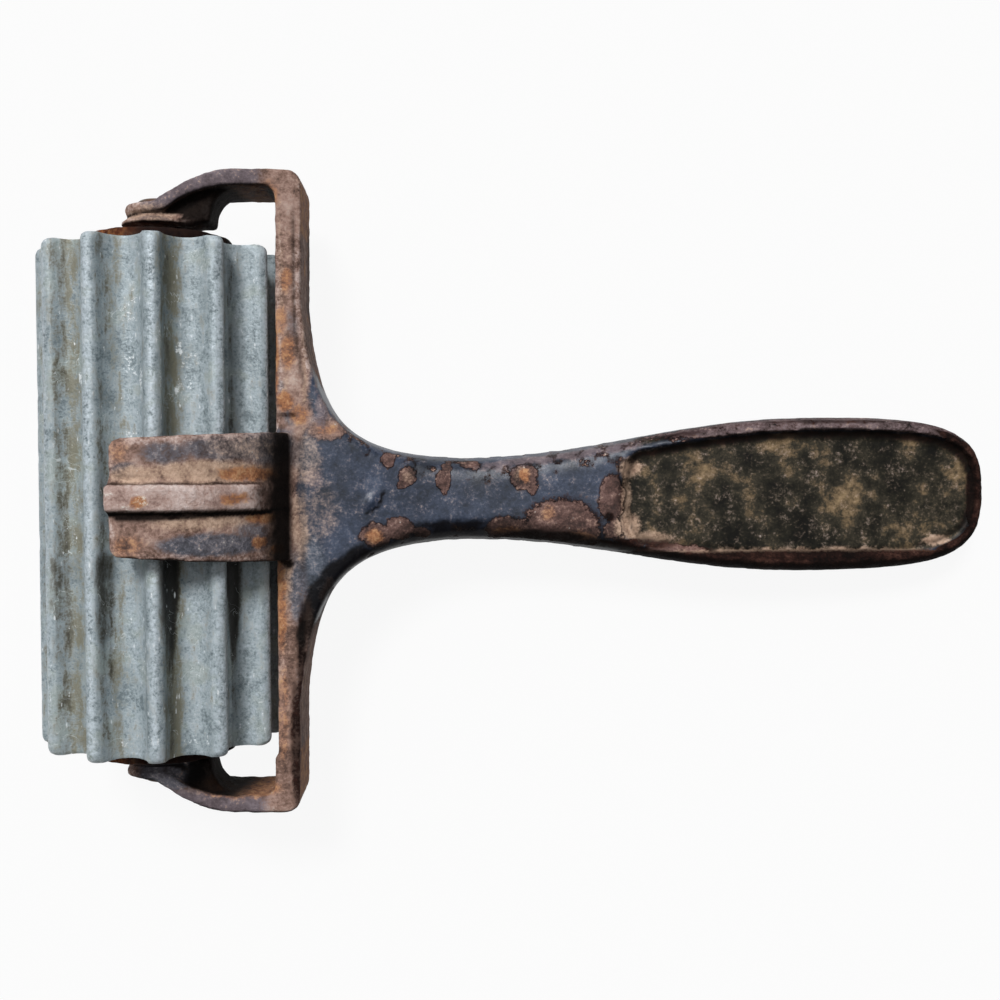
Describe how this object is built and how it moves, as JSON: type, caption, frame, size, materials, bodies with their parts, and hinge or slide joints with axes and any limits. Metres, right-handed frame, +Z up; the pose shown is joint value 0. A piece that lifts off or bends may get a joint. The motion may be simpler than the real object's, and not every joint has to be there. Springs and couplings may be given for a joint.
{
  "type": "fluting iron",
  "caption": "Hand fluting iron with a fluted roller on an axle in a forked cast-iron frame, hood over the roller and flat handle.",
  "frame": {"origin": "middle of the bounding box, on the surface that the tool lies on", "axes": "+X from the roller towards the end of the handle, +Y along the axle, +Z up"},
  "size_m": [0.1906, 0.1276, 0.0534],
  "materials": {
    "painted_iron": "worn black japan paint over rusting cast iron",
    "steel": "dull steel, peened at both ends",
    "zinc": "oxidised blue-grey zinc with dirt in the flutes",
    "rusty_iron": "bare iron with orange rust"
  },
  "bodies": {
    "frame": {"frame_casting": "painted_iron", "axle_pin": "steel"},
    "roller": {"fluted_roller": "zinc", "roller_head_left": "rusty_iron", "roller_head_right": "rusty_iron"}
  },
  "joints": [
    {"name": "roller_spin", "type": "hinge", "parent": "frame", "child": "roller", "pos_m": [-0.07206, -0.00064, 0.02325], "axis": [0, 1, 0], "continuous": true}
  ]
}
